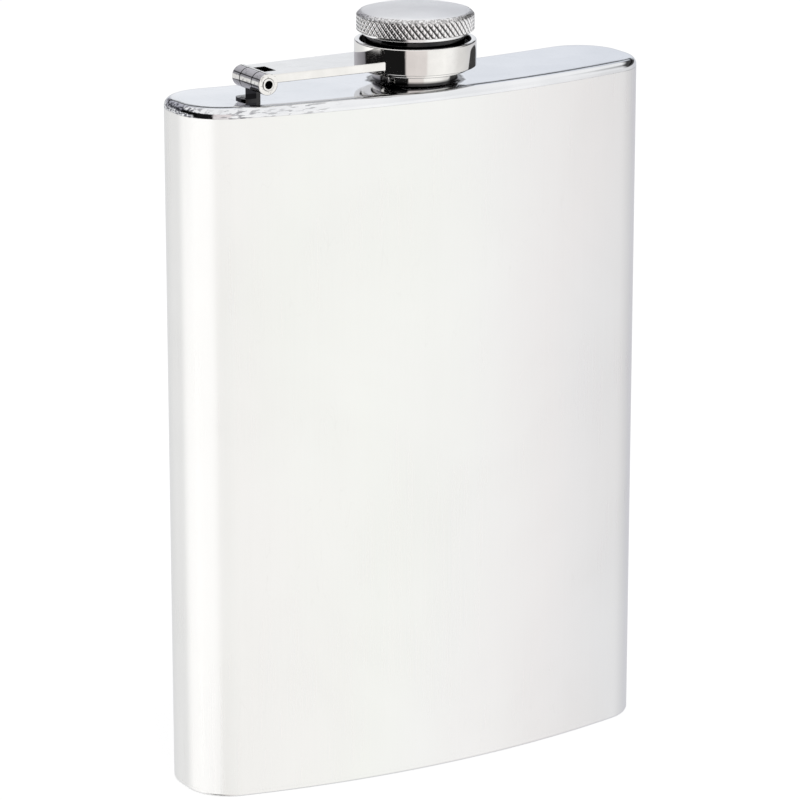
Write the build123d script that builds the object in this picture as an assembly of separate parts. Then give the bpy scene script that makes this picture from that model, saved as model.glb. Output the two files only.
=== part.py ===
from build123d import *
import os

# Hip flask with a captive screw cap on a hinged arm.  Millimetres.
# Origin: where the neck axis meets the base plane.  +X runs along the width away
# from the hinge, -Y is the convex front face, +Z is up.

# --- flask body ---------------------------------------------------------------
PLATE_TOP_Z = 126.0          # flat of the top plate
BODY_WIDTH = 93.0
BODY_DEPTH = 22.3            # thickness on the neck axis
FRONT_SAGITTA = 6.3          # how far the front face falls back at the ends
BACK_SAGITTA = 3.9           # how far the hollow back face comes back at the ends
END_RADIUS = 8.8             # plan radius of the four upright corners
WALL = 0.7
SHOULDER_HEIGHT = 1.7        # rounded rim of the top plate
SHOULDER_RADIUS = 1.4
RIM_HEIGHT = 1.0             # rim of the bottom plate
RIM_RADIUS = 0.7
PLATE_THICKNESS = 0.8

# --- neck ---------------------------------------------------------------------
NECK_BORE_R = 6.4
NECK_ROOT_R = 7.1            # thread root, and the spigot in the plate
NECK_COLLAR_R = 7.6          # plain collar under the thread
NECK_FLANGE_R = 8.2
NECK_FLANGE_HEIGHT = 0.4
NECK_COLLAR_HEIGHT = 2.2     # above the plate
NECK_HEIGHT = 6.0            # mouth above the plate
NECK_SPIGOT_DEPTH = 1.6      # below the plate's top face
SPIGOT_CLEARANCE = 0.04
MOUTH_ROUND = 0.25

# --- thread -------------------------------------------------------------------
THREAD_PITCH = 1.5
THREAD_CREST_R = 7.62
THREAD_TURNS = 1.75
THREAD_START = 2.7           # above the plate
RIDGE_BASE = 0.95            # axial width of the ridge at its root
RIDGE_CREST = 0.35
RIDGE_EMBED = 0.12
GROOVE_TURNS = 2.0
GROOVE_DEPTH = 0.4
GROOVE_START = 2.5

# --- hinge --------------------------------------------------------------------
PIN_X = -32.3
PIN_Z = PLATE_TOP_Z + 3.2
PIN_R = 1.1
PIN_BORE_R = 0.72
PIN_PROUD = 0.2              # how far each pin end stands out of the arm
PIN_RUNNING_CLEARANCE = 0.06
KNUCKLE_R = 1.9
BASE_KNUCKLE_WIDTH = 4.0
KNUCKLE_SIDE_GAP = 0.1       # axial gap beside the middle knuckle
POST_THICKNESS = 0.8
FOOT_LENGTH = 3.2
FOOT_THICKNESS = 0.35
FOOT_CORNER_RADIUS = 1.2
KNUCKLE_EDGE_ROUND = 0.15

# --- arm ----------------------------------------------------------------------
ARM_WIDTH = 9.8              # at the pin
ARM_ROOT_WIDTH = 11.6        # carried on to the neck axis, widening from the pin
ARM_THICKNESS = 1.55
ARM_TOP_ABOVE_PIN = 1.7
ARM_WINDOW_EDGE = 3.1        # from the pin axis to the near edge of the web
ARM_EDGE_ROUND = 0.2

# --- captive ring -------------------------------------------------------------
RING_R = 10.85
RING_BOTTOM = 2.6            # above the plate
RING_TOP = 7.3
RING_BORE_R = 8.88
RING_COUNTERBORE_R = 9.85    # below the web, takes the lip
RING_COUNTERBORE_DEPTH = 2.6
RING_RECESS_R = 9.9          # above the web, under the cap head
RING_RECESS_DEPTH = 1.1
RING_EDGE_ROUND = 0.25

# --- cap ----------------------------------------------------------------------
SLEEVE_R = 8.8               # runs in the ring bore
SLEEVE_BORE_R = 7.85
SLEEVE_BOTTOM = 1.95
LIP_R = 9.55
LIP_THICKNESS = 0.8
SLEEVE_BORE_TOP = 7.4
SLEEVE_TOP = 10.1
LINER_R = 7.6
LINER_GROOVE_R = 5.4
LINER_GROOVE_WIDTH = 0.6
LINER_BOTTOM = 6.05
HEAD_BOTTOM = 8.2
HEAD_SHOULDER_R = 9.5
KNURL_R = 10.45
KNURL_BOTTOM = 9.0
KNURL_TOP = 11.7
RIM_TOP = 12.4
RIM_R = 9.75
DOME_TOP = 13.2
HEAD_EDGE_ROUND = 0.45


def on_plate(height):
    return PLATE_TOP_Z + height


def outline(inset=0.0):
    """Plan of the body: convex front, hollow back, rounded ends."""
    half = BODY_WIDTH / 2
    front = -BODY_DEPTH / 2
    back = BODY_DEPTH / 2
    front_end = front + FRONT_SAGITTA
    back_end = back + BACK_SAGITTA
    with BuildSketch() as plan:
        with BuildLine():
            ThreePointArc((-half, front_end), (0, front), (half, front_end))
            Line((half, front_end), (half, back_end))
            ThreePointArc((half, back_end), (0, back), (-half, back_end))
            Line((-half, back_end), (-half, front_end))
        make_face()
        fillet(plan.vertices(), END_RADIUS)
        if inset:
            offset(amount=-inset, mode=Mode.REPLACE)
    return plan.sketch


def slab(inset, bottom, top):
    return Pos(0, 0, bottom) * extrude(outline(inset), top - bottom)


def tube(outer, inner, bottom, top):
    solid = Pos(0, 0, bottom) * extrude(Circle(outer), top - bottom)
    bore = Pos(0, 0, bottom - 1) * extrude(Circle(inner), top - bottom + 2)
    return solid - bore


def disc(radius, bottom, top):
    return Pos(0, 0, bottom) * extrude(Circle(radius), top - bottom)


def edges_at(solid, height, tolerance=0.01):
    return [e for e in solid.edges() if abs(e.center().Z - height) < tolerance
            and abs(e.bounding_box().size.Z) < tolerance]


def helical_strip(radius, outward, bottom, turns):
    """Trapezoid thread section swept up a helix, wide at the radius, narrow outward."""
    path = Helix(pitch=THREAD_PITCH, height=THREAD_PITCH * turns, radius=radius,
                 center=(0, 0, bottom))
    section_plane = Plane(origin=path @ 0, x_dir=(1, 0, 0), z_dir=path % 0)
    points = [(-RIDGE_EMBED, -RIDGE_BASE / 2), (outward, -RIDGE_CREST / 2),
              (outward, RIDGE_CREST / 2), (-RIDGE_EMBED, RIDGE_BASE / 2)]
    section = section_plane * make_face(Polyline(*points, close=True))
    return sweep(section, path=path, is_frenet=True)


def body_shell():
    bottom = RIM_HEIGHT
    top = PLATE_TOP_Z - SHOULDER_HEIGHT
    return slab(0, bottom, top) - slab(WALL, bottom - 1, top + 1)


def top_plate():
    bottom = PLATE_TOP_Z - SHOULDER_HEIGHT
    pan = slab(0, bottom, PLATE_TOP_Z)
    pan = fillet(edges_at(pan, PLATE_TOP_Z), SHOULDER_RADIUS)
    hollow = slab(WALL, bottom - 1, PLATE_TOP_Z - PLATE_THICKNESS)
    hollow = fillet(edges_at(hollow, PLATE_TOP_Z - PLATE_THICKNESS), SHOULDER_RADIUS - WALL)
    neck_hole = disc(NECK_ROOT_R + SPIGOT_CLEARANCE, bottom - 1, PLATE_TOP_Z + 1)
    return pan - hollow - neck_hole


def bottom_plate():
    pan = slab(0, 0, RIM_HEIGHT)
    pan = fillet(edges_at(pan, 0), RIM_RADIUS)
    return pan - slab(WALL, PLATE_THICKNESS, RIM_HEIGHT + 1)


def neck():
    spout = disc(NECK_ROOT_R, on_plate(-NECK_SPIGOT_DEPTH), on_plate(NECK_HEIGHT))
    spout += disc(NECK_FLANGE_R, on_plate(0), on_plate(NECK_FLANGE_HEIGHT))
    spout += disc(NECK_COLLAR_R, on_plate(0), on_plate(NECK_COLLAR_HEIGHT))
    spout = fillet(edges_at(spout, on_plate(NECK_HEIGHT)), MOUTH_ROUND)
    spout += helical_strip(NECK_ROOT_R, THREAD_CREST_R - NECK_ROOT_R,
                           on_plate(THREAD_START), THREAD_TURNS)
    bore = disc(NECK_BORE_R, on_plate(-NECK_SPIGOT_DEPTH) - 1, on_plate(NECK_HEIGHT) + 1)
    spout -= bore
    return spout


def across(radius, width, centre_y=0.0):
    """Cylinder on the pin axis, centred at the given Y."""
    return Pos(PIN_X, centre_y, PIN_Z) * Rot(90, 0, 0) * Cylinder(radius, width)


def block(x0, x1, y0, y1, z0, z1):
    centre = Pos((x0 + x1) / 2, (y0 + y1) / 2, (z0 + z1) / 2)
    return centre * Box(x1 - x0, y1 - y0, z1 - z0)


def hinge_base():
    half = BASE_KNUCKLE_WIDTH / 2
    foot = block(PIN_X - FOOT_LENGTH, PIN_X, -half, half,
                 PLATE_TOP_Z, on_plate(FOOT_THICKNESS))
    foot = fillet(foot.edges().filter_by(Axis.Z).group_by(Axis.X)[0], FOOT_CORNER_RADIUS)
    post = block(PIN_X - POST_THICKNESS, PIN_X, -half, half, PLATE_TOP_Z, PIN_Z)
    knuckle = across(KNUCKLE_R, BASE_KNUCKLE_WIDTH)
    return foot + post + knuckle - across(PIN_R, BASE_KNUCKLE_WIDTH + 2)


def hinge_pin():
    length = ARM_WIDTH + 2 * PIN_PROUD
    pin = across(PIN_R, length)
    pin = fillet(pin.edges().filter_by(GeomType.CIRCLE), KNUCKLE_EDGE_ROUND)
    return pin - across(PIN_BORE_R, length + 2)


def cap_arm():
    half = ARM_WIDTH / 2
    top = PIN_Z + ARM_TOP_ABOVE_PIN
    bottom = top - ARM_THICKNESS
    root = ARM_ROOT_WIDTH / 2
    corners = [(PIN_X, -half), (0, -root), (0, root), (PIN_X, half)]
    strip = Pos(0, 0, bottom) * extrude(make_face(Polyline(*corners, close=True)), top - bottom)
    long_edges = [e for e in strip.edges() if e.length > 2 * ARM_ROOT_WIDTH]
    strip = fillet(long_edges, ARM_EDGE_ROUND)
    eye_width = half - BASE_KNUCKLE_WIDTH / 2 - KNUCKLE_SIDE_GAP
    eye_centre = half - eye_width / 2
    arm = strip
    for side in (-1, 1):
        eye = across(KNUCKLE_R, eye_width, side * eye_centre)
        outer_edge = eye.edges().filter_by(GeomType.CIRCLE).sort_by(Axis.Y)[0 if side < 0 else -1]
        arm += fillet(outer_edge, KNUCKLE_EDGE_ROUND)
    window = block(PIN_X - KNUCKLE_R - 1, PIN_X + ARM_WINDOW_EDGE,
                   -half + eye_width, half - eye_width, bottom - 3, top + 1)
    arm -= window
    arm -= across(PIN_R + PIN_RUNNING_CLEARANCE, ARM_WIDTH + 2)
    return arm - disc(RING_R, bottom - 1, top + 1)


def captive_ring():
    bottom = on_plate(RING_BOTTOM)
    top = on_plate(RING_TOP)
    ring = disc(RING_R, bottom, top)
    ring = fillet(edges_at(ring, top) + edges_at(ring, bottom), RING_EDGE_ROUND)
    ring -= disc(RING_BORE_R, bottom - 1, top + 1)
    ring -= disc(RING_RECESS_R, top - RING_RECESS_DEPTH, top + 1)
    return ring - disc(RING_COUNTERBORE_R, bottom - 1, bottom + RING_COUNTERBORE_DEPTH)


def cap_sleeve():
    """Threaded skirt through the ring, with the lip that keeps the ring on."""
    bottom = on_plate(SLEEVE_BOTTOM)
    skirt = disc(SLEEVE_R, bottom, on_plate(SLEEVE_TOP))
    skirt += disc(LIP_R, bottom, bottom + LIP_THICKNESS)
    skirt -= disc(SLEEVE_BORE_R, bottom - 1, on_plate(SLEEVE_BORE_TOP))
    return skirt - helical_strip(SLEEVE_BORE_R, GROOVE_DEPTH, on_plate(GROOVE_START),
                                 GROOVE_TURNS)


def cap_liner():
    bottom = on_plate(LINER_BOTTOM)
    top = on_plate(SLEEVE_BORE_TOP)
    liner = disc(LINER_R, bottom, top)
    liner = fillet(edges_at(liner, bottom), MOUTH_ROUND)
    groove = tube(LINER_GROOVE_R, LINER_GROOVE_R - LINER_GROOVE_WIDTH, bottom - 1,
                  bottom + LINER_GROOVE_WIDTH / 2)
    return liner - groove


def cap_head():
    """Turned head: plain shoulder, grip band, bevelled rim and shallow dome."""
    with BuildSketch(Plane.XZ) as half_section:
        with BuildLine():
            Polyline((0, HEAD_BOTTOM), (HEAD_SHOULDER_R, HEAD_BOTTOM),
                     (HEAD_SHOULDER_R, KNURL_BOTTOM), (KNURL_R, KNURL_BOTTOM),
                     (KNURL_R, KNURL_TOP), (RIM_R, RIM_TOP))
            ThreePointArc((RIM_R, RIM_TOP), (RIM_R / 2, DOME_TOP - (DOME_TOP - RIM_TOP) / 4),
                          (0, DOME_TOP))
            Line((0, DOME_TOP), (0, HEAD_BOTTOM))
        make_face()
    head = revolve(half_section.sketch, Axis.Z)
    head = Pos(0, 0, PLATE_TOP_Z) * head
    head = fillet(edges_at(head, on_plate(RIM_TOP)), HEAD_EDGE_ROUND)
    return head - disc(SLEEVE_R, on_plate(HEAD_BOTTOM) - 1, on_plate(SLEEVE_TOP))


NODES = {
    "body_shell": body_shell,
    "top_plate": top_plate,
    "bottom_plate": bottom_plate,
    "neck": neck,
    "hinge_base": hinge_base,
    "hinge_pin": hinge_pin,
    "cap_arm": cap_arm,
    "captive_ring": captive_ring,
    "cap_sleeve": cap_sleeve,
    "cap_liner": cap_liner,
    "cap_head": cap_head,
}

os.makedirs("parts", exist_ok=True)
for name, build in NODES.items():
    export_step(build(), "parts/" + name + ".step")
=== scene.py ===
import math

import bpy
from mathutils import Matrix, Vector


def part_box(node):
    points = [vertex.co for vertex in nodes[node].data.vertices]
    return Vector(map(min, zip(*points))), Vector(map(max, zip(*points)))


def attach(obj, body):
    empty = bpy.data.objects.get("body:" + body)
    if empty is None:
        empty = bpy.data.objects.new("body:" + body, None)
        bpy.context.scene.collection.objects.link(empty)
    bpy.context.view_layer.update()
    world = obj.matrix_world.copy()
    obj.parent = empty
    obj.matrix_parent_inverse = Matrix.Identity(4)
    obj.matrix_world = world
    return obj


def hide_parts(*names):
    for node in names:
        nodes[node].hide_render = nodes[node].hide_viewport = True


# Lengths are millimetres, and metres where a name ends in _M.  Meshes are scaled when made.
MM = 0.001
X, Y, Z = 0, 1, 2

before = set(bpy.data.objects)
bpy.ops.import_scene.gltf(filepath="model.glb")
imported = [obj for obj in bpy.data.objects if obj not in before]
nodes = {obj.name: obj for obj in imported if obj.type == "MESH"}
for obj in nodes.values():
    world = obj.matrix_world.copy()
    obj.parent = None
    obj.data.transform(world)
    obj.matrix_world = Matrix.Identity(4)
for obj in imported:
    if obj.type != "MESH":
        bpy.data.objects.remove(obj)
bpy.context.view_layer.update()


def low(node, axis):
    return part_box(node)[0][axis] / MM


def high(node, axis):
    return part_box(node)[1][axis] / MM


def round_radius(node):
    return (high(node, X) - low(node, X)) / 2


PLATE_TOP = high("top_plate", Z)
SAME_PLACE = 1e-6            # lengths closer than this are taken as equal

# --- flask body, as the solids have it ------------------------------------------
HALF_WIDTH = high("body_shell", X)
HALF_DEPTH = -low("body_shell", Y)
FRONT_SAGITTA = 6.3
BACK_SAGITTA = 3.9
END_RADIUS = 8.8
WALL = 0.7
SEAM_Z = low("top_plate", Z)
RIM_Z = high("bottom_plate", Z)
SHOULDER_RADIUS = 1.4
BOTTOM_RADIUS = 0.7
PLATE_THICKNESS = 0.8
PLATE_ROLL_WIDTH = 1.6       # how far in from the shoulder the flat starts to fall
PLATE_ROLL_TILT = math.radians(4.0)
SEAM_ROUND = 0.05            # rounding either side of the upper weld seam
LOWER_SEAM_ROUND = 0.015     # the lower one is ground flush
PLATE_HOLE_R = 7.14          # the neck's spigot stands in it
PLATE_SKIRT_DROP = 0.5       # from the plate's underside to where its skirt is full width
BOTTOM_DETAIL_INSET = 4.0    # the bottom plate is plain inside this

# --- neck ------------------------------------------------------------------------
NECK_BORE_R = 6.4
NECK_ROOT_R = 7.1
NECK_COLLAR_R = 7.6
NECK_FLANGE_R = round_radius("neck")
NECK_FLANGE_HEIGHT = 0.4
NECK_COLLAR_HEIGHT = 2.2
NECK_TOP = high("neck", Z)
NECK_FOOT = low("neck", Z)
THREAD_PITCH = 1.5
THREAD_CREST_R = 7.62
THREAD_TURNS = 1.75
THREAD_START = 2.7
THREAD_RUN_OUT = 0.12        # turns over which a thread rises at each end
THREAD_CREST_HALF = 0.17     # half the width of its crest and of its foot
THREAD_FOOT_HALF = 0.46
NECK_THREAD_STEP = 0.06      # height of one row of faces
SLEEVE_THREAD_STEP = 0.07
WELD_FILLET_R = 0.25
WELD_FILLET_TOE = 0.12       # how far the fillet's toe stands out of the collar
NECK_LIP_HEIGHT = 0.3        # plain stretch at the mouth

# --- ring and cap ----------------------------------------------------------------
RING_R = 10.85
RING_BORE_R = 8.88
RING_COUNTERBORE_R = 9.85
RING_COUNTERBORE_DEPTH = 2.6
RING_RECESS_R = 9.9
RING_RECESS_DEPTH = 1.1
RING_BOTTOM = low("captive_ring", Z)
RING_TOP = high("captive_ring", Z)
SLEEVE_R = 8.8
SLEEVE_BORE_R = 7.85
LIP_R = round_radius("cap_sleeve")
LIP_THICKNESS = 0.8
SLEEVE_BOTTOM = low("cap_sleeve", Z)
SLEEVE_TOP = high("cap_sleeve", Z)
SLEEVE_BORE_TOP = high("cap_liner", Z)
GROOVE_START = 2.5
GROOVE_TURNS = 2.0
GROOVE_DEPTH = 0.4
LINER_R = round_radius("cap_liner")
LINER_BOTTOM = low("cap_liner", Z)
LINER_DIMPLE_R = 2.2
LINER_DIMPLE_DEPTH = 0.12
LINER_GROOVE_INNER_R = 4.8
LINER_GROOVE_OUTER_R = 5.4
LINER_GROOVE_DEPTH = 0.3
LINER_GROOVE_TAPER = 0.1
HEAD_BOTTOM = low("cap_head", Z)
HEAD_TOP = high("cap_head", Z)
HEAD_SHOULDER_R = 9.5
KNURL_R = round_radius("cap_head")
KNURL_BOTTOM = PLATE_TOP + 9.0
KNURL_TOP = PLATE_TOP + 11.7
RIM_TOP = PLATE_TOP + 12.4
RIM_R = 9.75
KNURL_COUNT = 58
KNURL_ROWS = 2               # diamonds over the height of the band
KNURL_DEPTH = 0.38
KNURL_CROSS_DEPTH = 0.24
KNURL_SLOPE = 1.85           # grooves narrow as this rises
KNURL_CROSS_SLOPE = 2.4
KNURL_STEPS = 14             # faces over one diamond, along and around
KNURL_LEAD_IN = 0.14         # first row of the band stands back by this
KNURL_FADE_START = KNURL_TOP - 0.35
KNURL_FADE_END = RIM_TOP - 0.25
BEVEL_STEPS = 8
BEVEL_HOLLOW = 1.4           # 1 is a straight bevel, more is hollow
DOME_STEPS = 40
DOME_EDGE_ROUND = 0.10       # how far the dome's edge is pulled in, and down by a share of it
DOME_EDGE_DROP = 0.4
DOME_EDGE_FADE = 1.3         # in steps of the dome

# --- hinge -----------------------------------------------------------------------
PIN_X = (low("hinge_pin", X) + high("hinge_pin", X)) / 2
PIN_Z = (low("hinge_pin", Z) + high("hinge_pin", Z)) / 2
PIN_BORE_R = 0.72
KNUCKLE_R = high("hinge_base", Z) - PIN_Z
ARM_WINDOW_EDGE = 3.1        # from the pin axis
ARM_WINDOW_HALF = high("hinge_base", Y) + 0.1
PIN_TO_ARM_TOP = 1.7

ROUND_SEGMENTS = 240


# ==================================================================================
# mesh helpers
# ==================================================================================
def make_object(name, verts, faces, node, body, sharp=32.0):
    mesh = bpy.data.meshes.new(name)
    mesh.from_pydata([(x * MM, y * MM, z * MM) for x, y, z in verts], [], faces)
    mesh.validate()
    mesh.update()
    mesh.shade_smooth()
    mesh.set_sharp_from_angle(angle=math.radians(sharp))
    obj = bpy.data.objects.new(name, mesh)
    bpy.context.scene.collection.objects.link(obj)
    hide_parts(node)
    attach(obj, body)
    return obj


def rounded(points, steps=5):
    """Closed 2D outline from (a, b, radius) corners, with an arc at each corner that has one."""
    result = []
    count = len(points)
    for i, (a, b, radius) in enumerate(points):
        corner = Vector((a, b))
        before = Vector(points[i - 1][:2]) - corner
        after = Vector(points[(i + 1) % count][:2]) - corner
        if not radius:
            result.append((a, b))
            continue
        before.normalize()
        after.normalize()
        half_angle = before.angle(after) / 2
        reach = radius / math.tan(half_angle)
        start = corner + before * reach
        end = corner + after * reach
        centre = corner + (before + after).normalized() * (radius / math.sin(half_angle))
        for k in range(steps + 1):
            spoke = (start - centre).lerp(end - centre, k / steps).normalized() * radius
            result.append(tuple(centre + spoke))
    return result


def revolve(name, outline, node, body, shape=None, segments=ROUND_SEGMENTS, sharp=32.0):
    """Closed (radius, height) outline turned about the neck axis.  shape(r, z, angle) moves
    a point's radius.  Points on the axis become single vertices."""
    verts = []
    rings = []
    for r, z in outline:
        if r < SAME_PLACE:
            rings.append([len(verts)])
            verts.append((0.0, 0.0, z))
            continue
        ring = []
        for k in range(segments):
            angle = 2 * math.pi * k / segments
            radius = shape(r, z, angle) if shape else r
            ring.append(len(verts))
            verts.append((radius * math.cos(angle), radius * math.sin(angle), z))
        rings.append(ring)
    faces = []
    for a, b in zip(rings, rings[1:] + rings[:1]):
        if len(a) == 1 and len(b) == 1:
            continue
        for k in range(segments):
            nxt = (k + 1) % segments
            if len(a) == 1:
                faces.append((a[0], b[nxt], b[k]))
            elif len(b) == 1:
                faces.append((a[k], a[nxt], b[0]))
            else:
                faces.append((a[k], a[nxt], b[nxt], b[k]))
    return make_object(name, verts, faces, node, body, sharp)


def plan_of_body(along_face=64, round_corner=22, along_end=3):
    """Points of the body's plan going anticlockwise, each with its outward direction."""
    front_r = (HALF_WIDTH ** 2 + FRONT_SAGITTA ** 2) / (2 * FRONT_SAGITTA)
    back_r = (HALF_WIDTH ** 2 + BACK_SAGITTA ** 2) / (2 * BACK_SAGITTA)
    front_c = -HALF_DEPTH + front_r
    back_c = HALF_DEPTH + back_r
    corner_x = HALF_WIDTH - END_RADIUS
    front_corner_y = front_c - math.sqrt((front_r - END_RADIUS) ** 2 - corner_x ** 2)
    back_corner_y = back_c - math.sqrt((back_r + END_RADIUS) ** 2 - corner_x ** 2)
    front_turn = math.atan2(corner_x, front_c - front_corner_y)
    back_turn = math.atan2(corner_x, back_c - back_corner_y)
    down = -math.pi / 2
    up = math.pi / 2
    points = []

    def add_arc(cx, cy, radius, start, end, count, inward=False):
        for k in range(count):
            angle = start + (end - start) * k / count
            direction = Vector((math.cos(angle), math.sin(angle)))
            spot = Vector((cx, cy)) + direction * radius
            points.append((spot, -direction if inward else direction))

    def add_end(x, y0, y1, direction):
        for k in range(along_end):
            points.append((Vector((x, y0 + (y1 - y0) * k / along_end)), direction))

    add_arc(0, front_c, front_r, down - front_turn, down + front_turn, along_face)
    add_arc(corner_x, front_corner_y, END_RADIUS, down + front_turn, 0, round_corner)
    add_end(HALF_WIDTH, front_corner_y, back_corner_y, Vector((1, 0)))
    add_arc(corner_x, back_corner_y, END_RADIUS, 0, up + back_turn, round_corner)
    add_arc(0, back_c, back_r, down + back_turn, down - back_turn, along_face, inward=True)
    add_arc(-corner_x, back_corner_y, END_RADIUS, up - back_turn, math.pi, round_corner)
    add_end(-HALF_WIDTH, back_corner_y, front_corner_y, Vector((-1, 0)))
    add_arc(-corner_x, front_corner_y, END_RADIUS, math.pi, 3 * math.pi / 2 - front_turn,
            round_corner)
    return points


PLAN = plan_of_body()


def plan_ring(inset, z):
    return [(p.x - d.x * inset, p.y - d.y * inset, z) for p, d in PLAN]


def circle_ring(radius, z):
    """Circle about the neck axis with one point for each point of the plan."""
    return [(p.normalized().x * radius, p.normalized().y * radius, z) for p, _ in PLAN]


def blended_ring(share, inset, radius, z):
    """Between a plan ring at share 0 and a circle at share 1."""
    outer = plan_ring(inset, z)
    inner = circle_ring(radius, z)
    return [(a[0] + (b[0] - a[0]) * share, a[1] + (b[1] - a[1]) * share, z)
            for a, b in zip(outer, inner)]


def closed_shell(name, rings, node, body, cap_start=False, cap_end=False, sharp=32.0):
    """Skin over rings of the same count.  Without caps the last ring meets the first."""
    count = len(rings[0])
    verts = [point for ring in rings for point in ring]
    faces = []
    pairs = list(zip(range(len(rings) - 1), range(1, len(rings))))
    if not (cap_start or cap_end):
        pairs.append((len(rings) - 1, 0))
    for a, b in pairs:
        for k in range(count):
            nxt = (k + 1) % count
            faces.append((a * count + k, a * count + nxt, b * count + nxt, b * count + k))
    if cap_start:
        faces.append(tuple(reversed(range(count))))
    if cap_end:
        first = (len(rings) - 1) * count
        faces.append(tuple(range(first, first + count)))
    return make_object(name, verts, faces, node, body, sharp)


def ramp_down(distance, flat, foot):
    """1 within flat, 0 beyond foot, straight between."""
    return min(1.0, max(0.0, (foot - distance) / (foot - flat)))


def helix_height(z, angle, start, turns):
    """How much of a thread's full height stands at this point, 0 to 1."""
    turn = angle / (2 * math.pi)
    best = 0.0
    for whole in range(int(turns) + 2):
        t = turn + whole
        taper = min(1.0, max(0.0, t / THREAD_RUN_OUT), max(0.0, (turns - t) / THREAD_RUN_OUT))
        gap = abs(z - start - THREAD_PITCH * t)
        if t <= turns:
            best = max(best, ramp_down(gap, THREAD_CREST_HALF, THREAD_FOOT_HALF) * taper)
    return best


def levels(bottom, top, step):
    count = max(1, round((top - bottom) / step))
    return [bottom + (top - bottom) * k / count for k in range(count + 1)]


# ==================================================================================
# pieces
# ==================================================================================
def build_body_shell():
    outline = rounded([(0, RIM_Z, LOWER_SEAM_ROUND), (0, SEAM_Z, SEAM_ROUND),
                       (WALL, SEAM_Z, 0), (WALL, RIM_Z, 0)], 4)
    rings = [plan_ring(inset, z) for inset, z in outline]
    return closed_shell("body_shell_sheet", rings, "body_shell", "flask")


def build_top_plate():
    """Flat that rolls off gently before it turns down into the shoulder."""
    drop = PLATE_ROLL_WIDTH * math.tan(PLATE_ROLL_TILT) / 2
    centre_z = PLATE_TOP - drop - SHOULDER_RADIUS
    rings = [plan_ring(inset, z) for inset, z in
             rounded([(WALL, SEAM_Z, 0), (0, SEAM_Z, SEAM_ROUND), (0, centre_z, 0)], 4)[1:-1]]
    shoulder_steps = 14
    for k in range(shoulder_steps + 1):
        tilt = math.pi / 2 + (PLATE_ROLL_TILT - math.pi / 2) * k / shoulder_steps
        inset = SHOULDER_RADIUS * (1 - math.sin(tilt))
        rings.append(plan_ring(inset, centre_z + SHOULDER_RADIUS * math.cos(tilt)))
    roll_steps = 8
    for k in range(1, roll_steps + 1):
        share = k / roll_steps
        rings.append(plan_ring(inset + PLATE_ROLL_WIDTH * share,
                               PLATE_TOP - drop * (1 - share) ** 2))
    inset += PLATE_ROLL_WIDTH
    for share in (0.05, 0.3, 0.6, 0.9, 1.0):
        rings.append(blended_ring(share, inset, PLATE_HOLE_R, PLATE_TOP))
    under = PLATE_TOP - PLATE_THICKNESS
    rings.append(circle_ring(PLATE_HOLE_R, under))
    rings.append(plan_ring(SHOULDER_RADIUS, under))
    rings.append(plan_ring(WALL, under - PLATE_SKIRT_DROP))
    rings.append(plan_ring(WALL, SEAM_Z))
    return closed_shell("top_plate_pressing", rings, "top_plate", "flask")


def build_bottom_plate():
    outline = rounded([(BOTTOM_DETAIL_INSET, 0, 0), (0, 0, BOTTOM_RADIUS),
                       (0, RIM_Z, LOWER_SEAM_ROUND), (WALL, RIM_Z, 0),
                       (WALL, PLATE_THICKNESS, 0), (BOTTOM_DETAIL_INSET, PLATE_THICKNESS, 0)], 6)
    rings = [plan_ring(inset, z) for inset, z in outline]
    return closed_shell("bottom_plate_pressing", rings, "bottom_plate", "flask",
                        cap_start=True, cap_end=True)


def build_neck():
    """Spout with its thread, a collar, and a weld fillet on the plate."""
    collar_top = PLATE_TOP + NECK_COLLAR_HEIGHT
    lip_foot = NECK_TOP - NECK_LIP_HEIGHT
    outline = [(NECK_BORE_R, NECK_FOOT), (NECK_ROOT_R, NECK_FOOT)]
    outline += rounded([(NECK_ROOT_R, PLATE_TOP, 0), (NECK_FLANGE_R, PLATE_TOP, 0),
                        (NECK_COLLAR_R + WELD_FILLET_TOE, PLATE_TOP + 0.10, WELD_FILLET_R),
                        (NECK_COLLAR_R, PLATE_TOP + NECK_FLANGE_HEIGHT, 0.1),
                        (NECK_COLLAR_R, collar_top, 0.12), (NECK_ROOT_R, collar_top, 0)])
    outline += [(NECK_ROOT_R, z) for z in levels(collar_top + 0.02, lip_foot, NECK_THREAD_STEP)]
    outline += rounded([(NECK_ROOT_R, lip_foot, 0), (NECK_ROOT_R, NECK_TOP, 0.25),
                        (NECK_BORE_R, NECK_TOP, 0.2), (NECK_BORE_R, NECK_TOP - 0.5, 0)])[1:]

    def with_thread(r, z, angle):
        if abs(r - NECK_ROOT_R) > SAME_PLACE or z < collar_top:
            return r
        rise = helix_height(z, angle, PLATE_TOP + THREAD_START, THREAD_TURNS)
        return r + rise * (THREAD_CREST_R - NECK_ROOT_R)

    return revolve("neck_spout", outline, "neck", "flask", with_thread)


def build_ring():
    """Ring with a counterbore below for the cap's lip and a recess above for its head."""
    step_z = RING_BOTTOM + RING_COUNTERBORE_DEPTH
    recess_z = RING_TOP - RING_RECESS_DEPTH
    outline = rounded([(RING_COUNTERBORE_R, RING_BOTTOM, 0.12), (RING_R, RING_BOTTOM, 0.25),
                       (RING_R, RING_TOP, 0.25), (RING_RECESS_R, RING_TOP, 0.12),
                       (RING_RECESS_R, recess_z, 0.08), (RING_BORE_R, recess_z, 0.08),
                       (RING_BORE_R, step_z, 0.08), (RING_COUNTERBORE_R, step_z, 0.08)])
    return revolve("captive_ring_turned", outline, "captive_ring", "arm")


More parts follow.
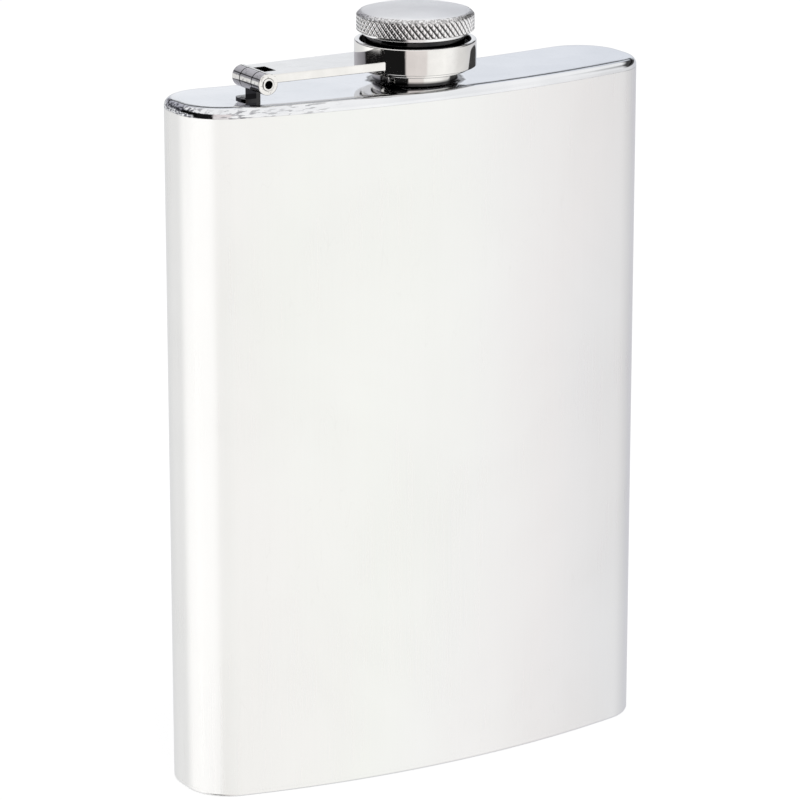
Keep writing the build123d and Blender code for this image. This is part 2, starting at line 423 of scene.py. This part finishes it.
def build_sleeve():
    """Cap's skirt: lip at the foot, groove for the neck's thread inside, solid at the top."""
    lip_top = SLEEVE_BOTTOM + LIP_THICKNESS
    outline = rounded([(SLEEVE_BORE_R + 0.2, SLEEVE_BOTTOM, 0), (LIP_R, SLEEVE_BOTTOM, 0.22),
                       (LIP_R, lip_top, 0.18), (SLEEVE_R, lip_top, 0.1),
                       (SLEEVE_R, SLEEVE_TOP, 0), (0, SLEEVE_TOP, 0)])
    outline += [(0, SLEEVE_BORE_TOP), (LINER_R, SLEEVE_BORE_TOP), (SLEEVE_BORE_R, SLEEVE_BORE_TOP)]
    outline += [(SLEEVE_BORE_R, z) for z in
                reversed(levels(SLEEVE_BOTTOM + 0.2, SLEEVE_BORE_TOP - 0.1, SLEEVE_THREAD_STEP))]
    outline += [(SLEEVE_BORE_R + 0.06, SLEEVE_BOTTOM + 0.06)]

    def with_groove(r, z, angle):
        if abs(r - SLEEVE_BORE_R) > SAME_PLACE:
            return r
        cut = helix_height(z, angle, PLATE_TOP + GROOVE_START, GROOVE_TURNS)
        return r + cut * GROOVE_DEPTH

    return revolve("cap_sleeve_turned", outline, "cap_sleeve", "cap", with_groove)


def build_liner():
    """Sealing disc with a shallow dimple and a moulded groove."""
    dimple_z = LINER_BOTTOM + LINER_DIMPLE_DEPTH
    groove_z = LINER_BOTTOM + LINER_GROOVE_DEPTH
    outline = [(0, dimple_z), (LINER_DIMPLE_R - 0.2, dimple_z)]
    outline += rounded([(LINER_DIMPLE_R, LINER_BOTTOM, 0.08),
                        (LINER_GROOVE_INNER_R, LINER_BOTTOM, 0.08),
                        (LINER_GROOVE_INNER_R + LINER_GROOVE_TAPER, groove_z, 0.06),
                        (LINER_GROOVE_OUTER_R - LINER_GROOVE_TAPER, groove_z, 0.06),
                        (LINER_GROOVE_OUTER_R, LINER_BOTTOM, 0.08), (LINER_R, LINER_BOTTOM, 0.25),
                        (LINER_R, SLEEVE_BORE_TOP, 0.05), (0, SLEEVE_BORE_TOP, 0)])
    return revolve("cap_liner_disc", outline, "cap_liner", "liner")


def build_head():
    """Cap head: shoulder, knurled band, bevel up to the rim, and a low dome."""
    outline = [(0, SLEEVE_TOP), (SLEEVE_R, SLEEVE_TOP)]
    outline += rounded([(SLEEVE_R, HEAD_BOTTOM, 0), (HEAD_SHOULDER_R, HEAD_BOTTOM, 0.3),
                        (HEAD_SHOULDER_R, KNURL_BOTTOM - 0.02, 0)])
    row_step = (KNURL_TOP - KNURL_BOTTOM) / (KNURL_ROWS * KNURL_STEPS)
    outline += [(KNURL_R - KNURL_LEAD_IN, KNURL_BOTTOM)]
    outline += [(KNURL_R, z) for z in levels(KNURL_BOTTOM + row_step, KNURL_TOP, row_step)]
    for k in range(1, BEVEL_STEPS):
        share = k / BEVEL_STEPS
        outline.append((KNURL_R + (RIM_R - KNURL_R) * share ** BEVEL_HOLLOW,
                        KNURL_TOP + (RIM_TOP - KNURL_TOP) * share))
    dome_sag = HEAD_TOP - RIM_TOP
    dome_r = (RIM_R ** 2 + dome_sag ** 2) / (2 * dome_sag)
    reach = math.asin(RIM_R / dome_r)
    for k in range(DOME_STEPS):
        angle = reach * (1 - k / DOME_STEPS)
        height = HEAD_TOP - dome_r + dome_r * math.cos(angle)
        ease = DOME_EDGE_ROUND * math.exp(-k / DOME_EDGE_FADE)
        outline.append((dome_r * math.sin(angle) - ease, height - ease * DOME_EDGE_DROP))
    outline.append((0, HEAD_TOP))

    def with_knurl(r, z, angle):
        if z < KNURL_BOTTOM - 0.01 or z > RIM_TOP - 0.02 or r < RIM_R:
            return r
        along = (z - KNURL_BOTTOM) / (KNURL_TOP - KNURL_BOTTOM) * KNURL_ROWS
        around = angle / (2 * math.pi) * KNURL_COUNT
        one = abs((around + along) % 1.0 - 0.5) * 2
        other = abs((around - along) % 1.0 - 0.5) * 2
        cut = max(KNURL_DEPTH * max(0.0, 1 - one * KNURL_SLOPE),
                  KNURL_CROSS_DEPTH * max(0.0, 1 - other * KNURL_CROSS_SLOPE))
        return r - cut * ramp_down(z, KNURL_FADE_START, KNURL_FADE_END)

    return revolve("cap_head_knurled", outline, "cap_head", "cap", with_knurl,
                   segments=KNURL_COUNT * KNURL_STEPS, sharp=70.0)


# ==================================================================================
# materials
# ==================================================================================
# near black: painted shade in recesses, gaps, the pin's bore, on the post and round the neck's
# foot, and the spots on the hinge's barrel
SHADE_AND_SPOT_BLACK = (0.02, 0.02, 0.022)
PIT = (0.06, 0.06, 0.08)
POLISHED_TINT = (0.88, 0.865, 0.84)
WORN_EDGE_X = -25.0          # the plate's shoulder is worn from the hinge end to about here
WORN_EDGE_SOFT = 9.0
WORN_TIP = 2.5               # and most of all within this of the end
RING_SHADOW_SPREAD = 0.5            # painted shadow and reflection of the ring, on the plate past the neck's flange
RING_SHADOW_WAVER_M = 0.0003        # how far its edge wanders


class Nodes:
    """Short calls for the nodes of one tree."""

    COLOUR_A, COLOUR_B, COLOUR_OUT = 6, 7, 2     # sockets of a mix node set to colours

    def __init__(self, tree):
        self.tree = tree

    def node(self, kind, **settings):
        made = self.tree.nodes.new(kind)
        for key, value in settings.items():
            setattr(made, key, value)
        return made

    def feed(self, value, socket):
        """Gives a socket another node's output, a colour or a number."""
        if isinstance(value, bpy.types.NodeSocket):
            self.tree.links.new(value, socket)
        elif isinstance(value, tuple):
            socket.default_value = (*value, 1.0)
        else:
            socket.default_value = value

    def split(self, vector):
        made = self.node("ShaderNodeSeparateXYZ")
        self.feed(vector, made.inputs["Vector"])
        return [made.outputs[axis] for axis in "XYZ"]

    def remap(self, value, from_low, from_high, to_low=0.0, to_high=1.0):
        made = self.node("ShaderNodeMapRange")
        for key, number in zip(("From Min", "From Max", "To Min", "To Max"),
                               (from_low, from_high, to_low, to_high)):
            made.inputs[key].default_value = number
        self.feed(value, made.inputs["Value"])
        return made.outputs["Result"]

    def math(self, operation, a, b=0.0):
        made = self.node("ShaderNodeMath", operation=operation)
        self.feed(a, made.inputs[0])
        self.feed(b, made.inputs[1])
        return made.outputs["Value"]

    def times(self, value, *factors):
        for factor in factors:
            value = self.math("MULTIPLY", value, factor)
        return value

    def weighted(self, *terms):
        """Sum of value times weight over (value, weight) terms."""
        *others, (value, weight) = terms
        total = self.times(value, weight)
        for value, weight in reversed(others):
            total = self.math("ADD", self.times(value, weight), total)
        return total

    def ramp(self, value, stops):
        made = self.node("ShaderNodeValToRGB")
        elements = made.color_ramp.elements
        while len(elements) < len(stops):
            elements.new(0.5)
        for element, (place, colour) in zip(elements, stops):
            element.position = place
            element.color = (*colour, 1.0)
        self.feed(value, made.inputs["Fac"])
        return made.outputs["Color"]

    def mix(self, amount, a, b, blend="MIX"):
        made = self.node("ShaderNodeMix", data_type="RGBA", blend_type=blend)
        self.feed(amount, made.inputs["Factor"])
        self.feed(a, made.inputs[self.COLOUR_A])
        self.feed(b, made.inputs[self.COLOUR_B])
        return made.outputs[self.COLOUR_OUT]


class Paint(Nodes):
    """One material, worked out from the place on the object."""

    def __init__(self, name, metallic=1.0):
        self.material = bpy.data.materials.new(name)
        self.material.use_nodes = True
        super().__init__(self.material.node_tree)
        self.shader = self.tree.nodes["Principled BSDF"]
        self.feed(metallic, self.shader.inputs["Metallic"])
        self.place = self.node("ShaderNodeTexCoord").outputs["Object"]
        self.x, self.y, self.z = self.split(self.place)

    def stretched(self, scale, turn=(0, 0, 0)):
        mapping = self.node("ShaderNodeMapping")
        mapping.inputs["Scale"].default_value = scale
        mapping.inputs["Rotation"].default_value = turn
        self.feed(self.place, mapping.inputs["Vector"])
        return mapping.outputs["Vector"]

    def noise(self, vector, detail=4.0, distort=0.0):
        made = self.node("ShaderNodeTexNoise")
        made.inputs["Scale"].default_value = 1.0
        made.inputs["Detail"].default_value = detail
        made.inputs["Roughness"].default_value = 0.55
        made.inputs["Distortion"].default_value = distort
        self.feed(vector, made.inputs["Vector"])
        return made.outputs["Fac"]

    def hairlines(self, scale, turn, width=0.012):
        """Thin bright lines, few and long: the level lines of a stretched noise."""
        field = self.noise(self.stretched(scale, turn), detail=2.0)
        away = self.math("ABSOLUTE", self.math("SUBTRACT", field, 0.5))
        return self.remap(away, 0.0, width, 1.0, 0.0)

    def distance(self, a, b, centre=(0.0, 0.0)):
        """Distance from the line where coordinates a and b have the centre's values."""
        squares = []
        for value, middle in zip((a, b), centre):
            off = self.math("SUBTRACT", value, middle * MM)
            squares.append(self.times(off, off))
        return self.math("SQRT", self.math("ADD", *squares))

    def above(self, value, limit, soft=0.03):
        """0 below the limit and 1 above it.  Both numbers are in millimetres."""
        return self.remap(value, (limit - soft) * MM, (limit + soft) * MM, 0.0, 1.0)

    def below(self, value, limit, soft=0.03):
        """1 below the limit and 0 above it.  Both numbers are in millimetres."""
        return self.remap(value, (limit - soft) * MM, (limit + soft) * MM, 1.0, 0.0)

    def surface(self, colour, rough):
        self.feed(colour, self.shader.inputs["Base Color"])
        self.feed(rough, self.shader.inputs["Roughness"])

    def bump(self, height, strength, distance):
        made = self.node("ShaderNodeBump")
        made.inputs["Strength"].default_value = strength
        made.inputs["Distance"].default_value = distance
        self.feed(height, made.inputs["Height"])
        self.feed(made.outputs["Normal"], self.shader.inputs["Normal"])


def satin_steel():
    """Body sheet: fine upright brushing, faint clouds, hairline scratches and handling marks."""
    paint = Paint("satin_steel")
    brushing = paint.noise(paint.stretched((2600, 2600, 30)), detail=3.0)
    broad = paint.noise(paint.stretched((220, 220, 5)), detail=2.0)
    clouds = paint.noise(paint.stretched((34, 34, 26)), detail=3.0, distort=0.5)
    drift = paint.noise(paint.stretched((30, 30, 14)), detail=1.0)
    marks = paint.hairlines((110, 110, 15), (0.05, 0.03, 0))
    patches = paint.remap(paint.noise(paint.stretched((60, 60, 60)), detail=1.0), 0.56, 0.66)
    nicks = paint.times(paint.hairlines((300, 300, 60), (0.5, 0.2, 0), 0.006), patches)
    tone = paint.weighted((clouds, 0.74), (brushing, 0.16), (broad, 0.10))
    colour = paint.ramp(tone, [(0.36, (0.850, 0.848, 0.842)), (0.50, (0.872, 0.870, 0.864)),
                               (0.64, (0.890, 0.889, 0.884))])
    # painted reflection: faint warm, green, pink and blue tints of the surroundings across the
    # width
    across = paint.math("ADD", paint.remap(paint.x, -HALF_WIDTH * MM, HALF_WIDTH * MM),
                        paint.remap(drift, 0.3, 0.7, -0.12, 0.12))
    reflected_tint = paint.ramp(across, [(0.08, (1.0, 0.995, 0.985)), (0.30, (0.990, 1.0, 0.976)),
                               (0.52, (0.998, 1.0, 0.992)), (0.78, (1.0, 0.984, 0.986)),
                               (0.96, (0.985, 0.987, 1.0))])
    colour = paint.mix(1.0, colour, reflected_tint, "MULTIPLY")
    colour = paint.mix(paint.times(marks, 0.03), colour, (0.95, 0.95, 0.94))
    colour = paint.mix(paint.times(nicks, 0.09), colour, (0.60, 0.59, 0.57))
    rough = paint.math("ADD", paint.remap(brushing, 0.3, 0.7, 0.27, 0.33),
                       paint.remap(clouds, 0.35, 0.7, -0.02, 0.03))
    paint.surface(colour, rough)
    paint.bump(paint.weighted((brushing, 0.4), (broad, 0.06), (marks, -0.06)), 0.08, 0.00004)
    return paint.material


def plate_steel():
    """Top plate: polished, a little cool, with slow waves from pressing, a painted shadow and
    reflection of the ring round the neck's weld, and a pitted shoulder."""
    paint = Paint("plate_steel")
    waves = paint.noise(paint.stretched((90, 90, 90)), detail=1.5)
    grain = paint.noise(paint.stretched((900, 2600, 900)), detail=3.0)
    pits = paint.noise(paint.stretched((420, 1800, 3200)), detail=3.0)
    marks = paint.hairlines((60, 240, 60), (0, 0, 0.4))
    colour = paint.ramp(waves, [(0.35, (0.80, 0.81, 0.83)), (0.65, (0.87, 0.875, 0.89))])

    blotches = paint.remap(paint.noise(paint.stretched((70, 70, 70)), detail=1.0), 0.42, 0.60)
    tip = paint.below(paint.x, WORN_TIP - HALF_WIDTH, 1.5)
    worn = paint.math("MAXIMUM", tip,
                      paint.times(blotches, paint.below(paint.x, WORN_EDGE_X, WORN_EDGE_SOFT)))
    shoulder = paint.below(paint.z, PLATE_TOP - 0.12, 0.08)
    depth = paint.math("ADD", pits, paint.times(tip, 0.05))
    specks = paint.times(shoulder, paint.remap(depth, 0.51, 0.60, 0.0, 0.90), worn)
    colour = paint.mix(specks, colour, PIT)

    # painted shadow and reflection of the ring: near black on the plate round the neck's foot, its
    # edge wandering a little
    shadow_wander = paint.remap(paint.noise(paint.stretched((500, 500, 500)), detail=2.0),
                         0.3, 0.7, -RING_SHADOW_WAVER_M, RING_SHADOW_WAVER_M)
    wavering = paint.math("ADD", paint.distance(paint.x, paint.y), shadow_wander)
    ring_shadow = paint.times(paint.below(wavering, NECK_FLANGE_R + RING_SHADOW_SPREAD, 0.2),
                       paint.above(paint.z, PLATE_TOP - 0.3))
    colour = paint.mix(ring_shadow, colour, SHADE_AND_SPOT_BLACK)

    rough = paint.math("ADD", paint.remap(grain, 0.3, 0.7, 0.045, 0.09),
                       paint.times(marks, 0.05))
    paint.surface(colour, rough)
    pitted = paint.times(pits, shoulder, paint.remap(worn, 0.0, 1.0, 0.3, 1.6))
    paint.bump(paint.weighted((waves, 2.0), (grain, 0.08), (pitted, 1.0)), 0.16, 0.00010)
    return paint.material


def polished_steel(name, rough_low, rough_high, dark_zone):
    """Plated small parts: near mirror, with turning marks, faint hazing, and a dark zone
    of painted shade, with dark spots as well on the hinge's barrel."""
    paint = Paint(name)
    haze = paint.noise(paint.stretched((260, 260, 260)), detail=3.0)
    marks = paint.hairlines((500, 500, 160), (0.3, 0.2, 0))
    wave = paint.noise(paint.stretched((160, 160, 160)), detail=1.0)
    ripple = paint.noise(paint.stretched((420, 420, 300)), detail=2.0, distort=0.8)
    darker = tuple(c * 0.92 for c in POLISHED_TINT)
    colour = paint.ramp(haze, [(0.35, darker), (0.62, POLISHED_TINT)])
    # how dark the painted shade and the barrel's spots go, a little uneven with the haze
    shade_and_spot_strength = paint.remap(haze, 0.3, 0.7, 0.95, 0.995)
    colour = paint.mix(paint.times(dark_zone(paint), shade_and_spot_strength), colour, SHADE_AND_SPOT_BLACK)
    rough = paint.math("ADD", paint.remap(haze, 0.3, 0.7, rough_low, rough_high),
                       paint.times(marks, 0.06))
    paint.surface(colour, rough)
    paint.bump(paint.weighted((wave, 2.0), (ripple, 0.35), (marks, -0.08)), 0.14, 0.00006)
    return paint.material


def closure_shade(paint):
    """Painted shade inside the ring's recess, on the sleeve above it, and on the weld flange."""
    radius = paint.distance(paint.x, paint.y)
    recess = paint.times(paint.below(radius, RING_RECESS_R + 0.04),
                         paint.above(paint.z, RING_TOP - RING_RECESS_DEPTH - 0.1))
    weld = paint.below(paint.z, PLATE_TOP + 2 * NECK_FLANGE_HEIGHT, 0.25)
    return paint.math("MAXIMUM", recess, weld)


def bracket_shade_and_spots(paint):
    """Painted shade on the welded foot and post, fading out under the knuckle, with the
    barrel's spots and joint shade besides.
    """
    post = paint.below(paint.z, PIN_Z - KNUCKLE_R + 0.45, 0.30)
    return paint.math("MAXIMUM", post, knuckle_spots_and_shade(paint))


def knuckle_spots_and_shade(paint):
    """Spots on the barrel of the hinge, and lines of painted shade where its knuckles meet."""
    barrel = paint.below(paint.distance(paint.x, paint.z, (PIN_X, PIN_Z)), KNUCKLE_R + 0.05, 0.02)
    side = paint.math("ABSOLUTE", paint.y)
    inside = paint.below(side, high("cap_arm", Y) - 0.3, 0.1)
    spots = paint.remap(paint.noise(paint.stretched((2200, 1100, 2200)), detail=3.0),
                        0.57, 0.66, 0.0, 0.45)
    # painted shade along the joints where the knuckles meet
    line = paint.times(paint.above(side, ARM_WINDOW_HALF - 0.14, 0.04),
                       paint.below(side, ARM_WINDOW_HALF + 0.14, 0.04))
    return paint.times(barrel, inside, paint.math("MAXIMUM", spots, line))


def window_shade_and_spots(paint):
    """Painted shade on the walls of the window behind the middle knuckle, and the spots and
    joint shade on the arm's two knuckles.
    """
    along = paint.times(paint.above(paint.x, PIN_X + KNUCKLE_R - 0.6, 0.1),
                        paint.below(paint.x, PIN_X + ARM_WINDOW_EDGE + 0.04, 0.02))
    beside = paint.below(paint.math("ABSOLUTE", paint.y), ARM_WINDOW_HALF + 0.04, 0.02)
    walls = paint.below(paint.z, high("cap_arm", Z) - KNUCKLE_R + PIN_TO_ARM_TOP - 0.1, 0.05)
    return paint.math("MAXIMUM", paint.times(along, beside, walls), knuckle_spots_and_shade(paint))


def bore_shade(paint):
    """Painted shade inside the pin's bore."""
    return paint.below(paint.distance(paint.x, paint.z, (PIN_X, PIN_Z)), PIN_BORE_R + 0.04, 0.02)


def cap_steel():
    """Cap head: satin dome with turning rings, speckled bevel, painted shade in the knurl valleys.
    """
    paint = Paint("cap_steel")
    radius = paint.distance(paint.x, paint.y)
    rings = paint.node("ShaderNodeCombineXYZ")
    paint.feed(paint.times(radius, 7000.0), rings.inputs["X"])
    turning = paint.noise(rings.outputs["Vector"], detail=2.0)
    haze = paint.noise(paint.stretched((240, 240, 240)), detail=3.0)
    grit = paint.noise(paint.stretched((2600, 2600, 2600)), detail=2.0)
    colour = paint.ramp(paint.weighted((turning, 0.4), (haze, 0.6)),
                        [(0.38, (0.89, 0.885, 0.89)), (0.62, (0.94, 0.935, 0.94))])
    bevel = paint.times(paint.above(radius, RIM_R - 0.15, 0.12),
                        paint.above(paint.z, KNURL_TOP - 0.1, 0.15))
    specks = paint.times(bevel, paint.remap(grit, 0.42, 0.60, 0.85, 0.0))
    colour = paint.mix(specks, colour, (0.32, 0.31, 0.31))
    # painted shade: the deeper part of each knurl valley goes near black
    valley_shade = paint.remap(radius, (KNURL_R - KNURL_DEPTH * 0.66) * MM,
                         (KNURL_R - KNURL_DEPTH * 0.34) * MM, 1.0, 0.0)
    band = paint.times(paint.above(paint.z, KNURL_BOTTOM),
                       paint.below(paint.z, KNURL_TOP + 0.1, 0.15))
    colour = paint.mix(paint.times(valley_shade, band, 0.95), colour, (0.025, 0.024, 0.023))
    rough = paint.math("ADD", paint.remap(turning, 0.3, 0.7, 0.30, 0.40),
                       paint.times(paint.below(paint.z, KNURL_TOP, 0.2), -0.16))
    paint.surface(colour, rough)
    paint.bump(paint.math("ADD", turning, paint.times(bevel, grit)), 0.10, 0.00003)
    return paint.material


def seal_rubber():
    """Sealing disc: off-white silicone with faint mould grain."""
    paint = Paint("seal_rubber", metallic=0.0)
    grain = paint.noise(paint.stretched((900, 900, 900)), detail=4.0)
    cloud = paint.noise(paint.stretched((180, 180, 180)), detail=2.0)
    colour = paint.ramp(cloud, [(0.35, (0.74, 0.735, 0.71)), (0.65, (0.84, 0.835, 0.81))])
    paint.surface(colour, paint.remap(grain, 0.3, 0.7, 0.45, 0.62))
    paint.bump(grain, 0.25, 0.00005)
    return paint.material


def dress(obj, material):
    obj.data.materials.clear()
    obj.data.materials.append(material)


def dress_cad(node, material):
    for place in nodes[node].material_slots:
        place.material = material


# ==================================================================================
# build the flask
# ==================================================================================
BODY = satin_steel()
PLATE = plate_steel()
CLOSURE = polished_steel("closure_steel", 0.02, 0.05, closure_shade)
ARM = polished_steel("arm_steel", 0.035, 0.09, window_shade_and_spots)
BRACKET = polished_steel("bracket_steel", 0.03, 0.07, bracket_shade_and_spots)
PIN = polished_steel("pin_steel", 0.03, 0.07, bore_shade)
CAP = cap_steel()
RUBBER = seal_rubber()

for build, material, finish in (
        (build_body_shell, BODY, "body_steel"),
        (build_bottom_plate, BODY, "body_steel"),
        (build_top_plate, PLATE, "plate_steel"),
        (build_neck, CLOSURE, "polished_steel"),
        (build_ring, CLOSURE, "polished_steel"),
        (build_sleeve, CLOSURE, "polished_steel"),
        (build_liner, RUBBER, "seal_rubber"),
        (build_head, CAP, "cap_steel")):
    piece = build()
    dress(piece, material)

dress_cad("cap_arm", ARM)
dress_cad("hinge_pin", PIN)
dress_cad("hinge_base", BRACKET)


# ==================================================================================
# studio
# ==================================================================================
FLOOR_SIZE_M = 6.0
FLOOR_GREY = 0.30            # with the glow, white to the camera and a faint shadow
FLOOR_GLOW = 0.80


def build_floor():
    half = FLOOR_SIZE_M / 2
    mesh = bpy.data.meshes.new("studio_floor")
    mesh.from_pydata([(-half, -half, 0), (half, -half, 0), (half, half, 0), (-half, half, 0)],
                     [], [(0, 1, 2, 3)])
    floor = bpy.data.objects.new("studio_floor", mesh)
    bpy.context.scene.collection.objects.link(floor)
    material = bpy.data.materials.new("studio_floor_white")
    material.use_nodes = True
    shader = material.node_tree.nodes["Principled BSDF"]
    shader.inputs["Base Color"].default_value = (FLOOR_GREY, FLOOR_GREY, FLOOR_GREY, 1)
    shader.inputs["Roughness"].default_value = 1.0
    shader.inputs["Specular IOR Level"].default_value = 0.0
    shader.inputs["Emission Color"].default_value = (1, 1, 1, 1)
    shader.inputs["Emission Strength"].default_value = FLOOR_GLOW
    mesh.materials.append(material)
    floor.visible_glossy = False
    floor.visible_shadow = False
    return floor


def build_world():
    """White to the camera; to the metal, a ring of soft panels and gaps by compass direction."""
    world = bpy.data.worlds.new("studio")
    bpy.context.scene.world = world
    world.use_nodes = True
    world.node_tree.nodes.clear()
    sky = Nodes(world.node_tree)
    x, y, z = sky.split(sky.node("ShaderNodeTexCoord").outputs["Generated"])
    compass = sky.remap(sky.math("ARCTAN2", x, sky.times(y, -1.0)), -math.pi, math.pi)
    height = sky.remap(z, -1.0, 1.0)
    white = (1.0, 1.0, 1.0)

    def at(degrees):
        """Place on the compass ramps: 0 is straight in front, positive to the right."""
        return (degrees + 180) / 360

    def up(degrees):
        """Place on the height ramps: 0 is the horizon."""
        return (math.sin(math.radians(degrees)) + 1) / 2

    def grey(level):
        return (level, level, level)

    below = sky.ramp(compass, [
        (at(-180), (0.80, 0.81, 0.82)), (at(-150), (0.84, 0.845, 0.85)),
        (at(-128), grey(1.15)), (at(-101), grey(1.15)), (at(-98), grey(0.01)),
        (at(-50), grey(0.01)), (at(-47), (0.80, 0.755, 0.745)), (at(-10), (0.84, 0.80, 0.79)),
        (at(-6), (1.01, 1.005, 0.995)), (at(26), (1.07, 1.07, 1.06)), (at(44), grey(0.99)),
        (at(57), (0.855, 0.85, 0.85)), (at(78), grey(0.775)), (at(105), (0.66, 0.66, 0.69)),
        (at(140), (0.68, 0.69, 0.73)), (at(180), (0.80, 0.81, 0.82))])
    above = sky.ramp(compass, [
        (at(-180), (0.50, 0.50, 0.55)), (at(-142), (0.26, 0.26, 0.29)),
        (at(-137), grey(0.01)), (at(-52), grey(0.01)), (at(-47), (0.80, 0.74, 0.73)),
        (at(-8), (0.86, 0.80, 0.79)), (at(0), grey(1.0)), (at(60), grey(0.95)),
        (at(78), grey(0.06)), (at(124), grey(0.06)), (at(136), (0.72, 0.75, 0.81)),
        (at(146), (0.78, 0.81, 0.87)), (at(154), (0.93, 0.95, 0.98)), (at(162), (0.52, 0.52, 0.58)),
        (at(180), (0.50, 0.50, 0.55))])
    over_horizon = sky.ramp(height, [
        (up(-90), grey(0)), (up(4), grey(0)), (up(8), grey(1)), (up(90), grey(1))])
    overhead = sky.ramp(height, [
        (up(-90), grey(0)), (up(33), grey(0)), (up(42), grey(1)), (up(90), grey(1))])
    dark_line = sky.ramp(height, [
        (up(-90), grey(1)), (up(14.5), grey(1)), (up(15.5), grey(0.15)), (up(20), grey(0.15)),
        (up(22), grey(1)), (up(90), grey(1))])
    behind = sky.math("GREATER_THAN", y, 0.0)
    lined = sky.mix(behind, above, dark_line, "MULTIPLY")
    sides = sky.mix(over_horizon, below, lined)
    studio = sky.mix(overhead, sides, white)

    def background(colour):
        made = sky.node("ShaderNodeBackground")
        sky.feed(colour, made.inputs["Color"])
        return made.outputs["Background"]

    chosen = sky.node("ShaderNodeMixShader")
    sky.feed(sky.node("ShaderNodeLightPath").outputs["Is Camera Ray"], chosen.inputs["Fac"])
    sky.feed(background(studio), chosen.inputs[1])
    sky.feed(background(white), chosen.inputs[2])
    out = sky.node("ShaderNodeOutputWorld")
    sky.feed(chosen.outputs["Shader"], out.inputs["Surface"])


FILL_DISTANCE_M = 0.5
FILL_HEIGHT_M = 1.2
FILL_PANELS = (              # first and last compass direction in degrees, brightness, colour
    (-99.5, -48.5, 1.14, (1.0, 1.0, 1.0)),
    (-48.5, -8.0, 0.21, (0.80, 1.0, 1.0)))


def build_fill_panels():
    """Upright panels off the hinge-end corner that light only the satin sheet, where the
    polished parts need something dark to reflect."""
    lit = bpy.data.collections.new("lit_by_fill_panels")
    for name in ("body_shell_sheet", "bottom_plate_pressing"):
        lit.objects.link(bpy.data.objects[name])
    corner = Vector((END_RADIUS - HALF_WIDTH, 0, PLATE_TOP / 2)) * MM
    for number, (first, last, brightness, colour) in enumerate(FILL_PANELS):
        azimuth = math.radians((first + last) / 2)
        width = 2 * FILL_DISTANCE_M * math.tan(math.radians((last - first) / 2))
        outward = Vector((math.sin(azimuth), -math.cos(azimuth), 0.0))
        data = bpy.data.lights.new("fill_panel_%d" % number, "AREA")
        data.shape = "RECTANGLE"
        data.size, data.size_y = width, FILL_HEIGHT_M
        data.energy = brightness * math.pi * width * FILL_HEIGHT_M
        data.color = colour
        panel = bpy.data.objects.new("fill_panel_%d" % number, data)
        panel.location = corner + outward * FILL_DISTANCE_M
        panel.rotation_euler = outward.to_track_quat("Z", "Y").to_euler()
        bpy.context.scene.collection.objects.link(panel)
        panel.light_linking.receiver_collection = lit


# --- camera -------------------------------------------------------------------
CAMERA_AZIMUTH = -30.4       # from straight in front, negative towards the hinge end
CAMERA_ELEVATION = 16.1
CAMERA_DISTANCE_M = 0.764
CAMERA_LENS_MM = 189.6
CAMERA_AIM_SIDE_M = -0.0027
CAMERA_AIM_UP_M = 0.0036


def build_camera():
    azimuth = math.radians(CAMERA_AZIMUTH)
    elevation = math.radians(CAMERA_ELEVATION)
    back = Vector((math.sin(azimuth) * math.cos(elevation),
                   -math.cos(azimuth) * math.cos(elevation), math.sin(elevation)))
    right = Vector((math.cos(azimuth), math.sin(azimuth), 0.0))
    up = back.cross(right)
    aim = Vector((0, 0, PLATE_TOP * MM / 2)) + right * CAMERA_AIM_SIDE_M + up * CAMERA_AIM_UP_M
    data = bpy.data.cameras.new("camera")
    data.lens = CAMERA_LENS_MM
    data.clip_start = 0.01
    data.clip_end = 20.0
    camera = bpy.data.objects.new("camera", data)
    camera.location = aim + back * CAMERA_DISTANCE_M
    camera.rotation_euler = back.to_track_quat("Z", "Y").to_euler()
    bpy.context.scene.collection.objects.link(camera)
    bpy.context.scene.camera = camera


build_floor()
build_world()
build_fill_panels()
build_camera()
bpy.context.scene.view_settings.view_transform = "Standard"
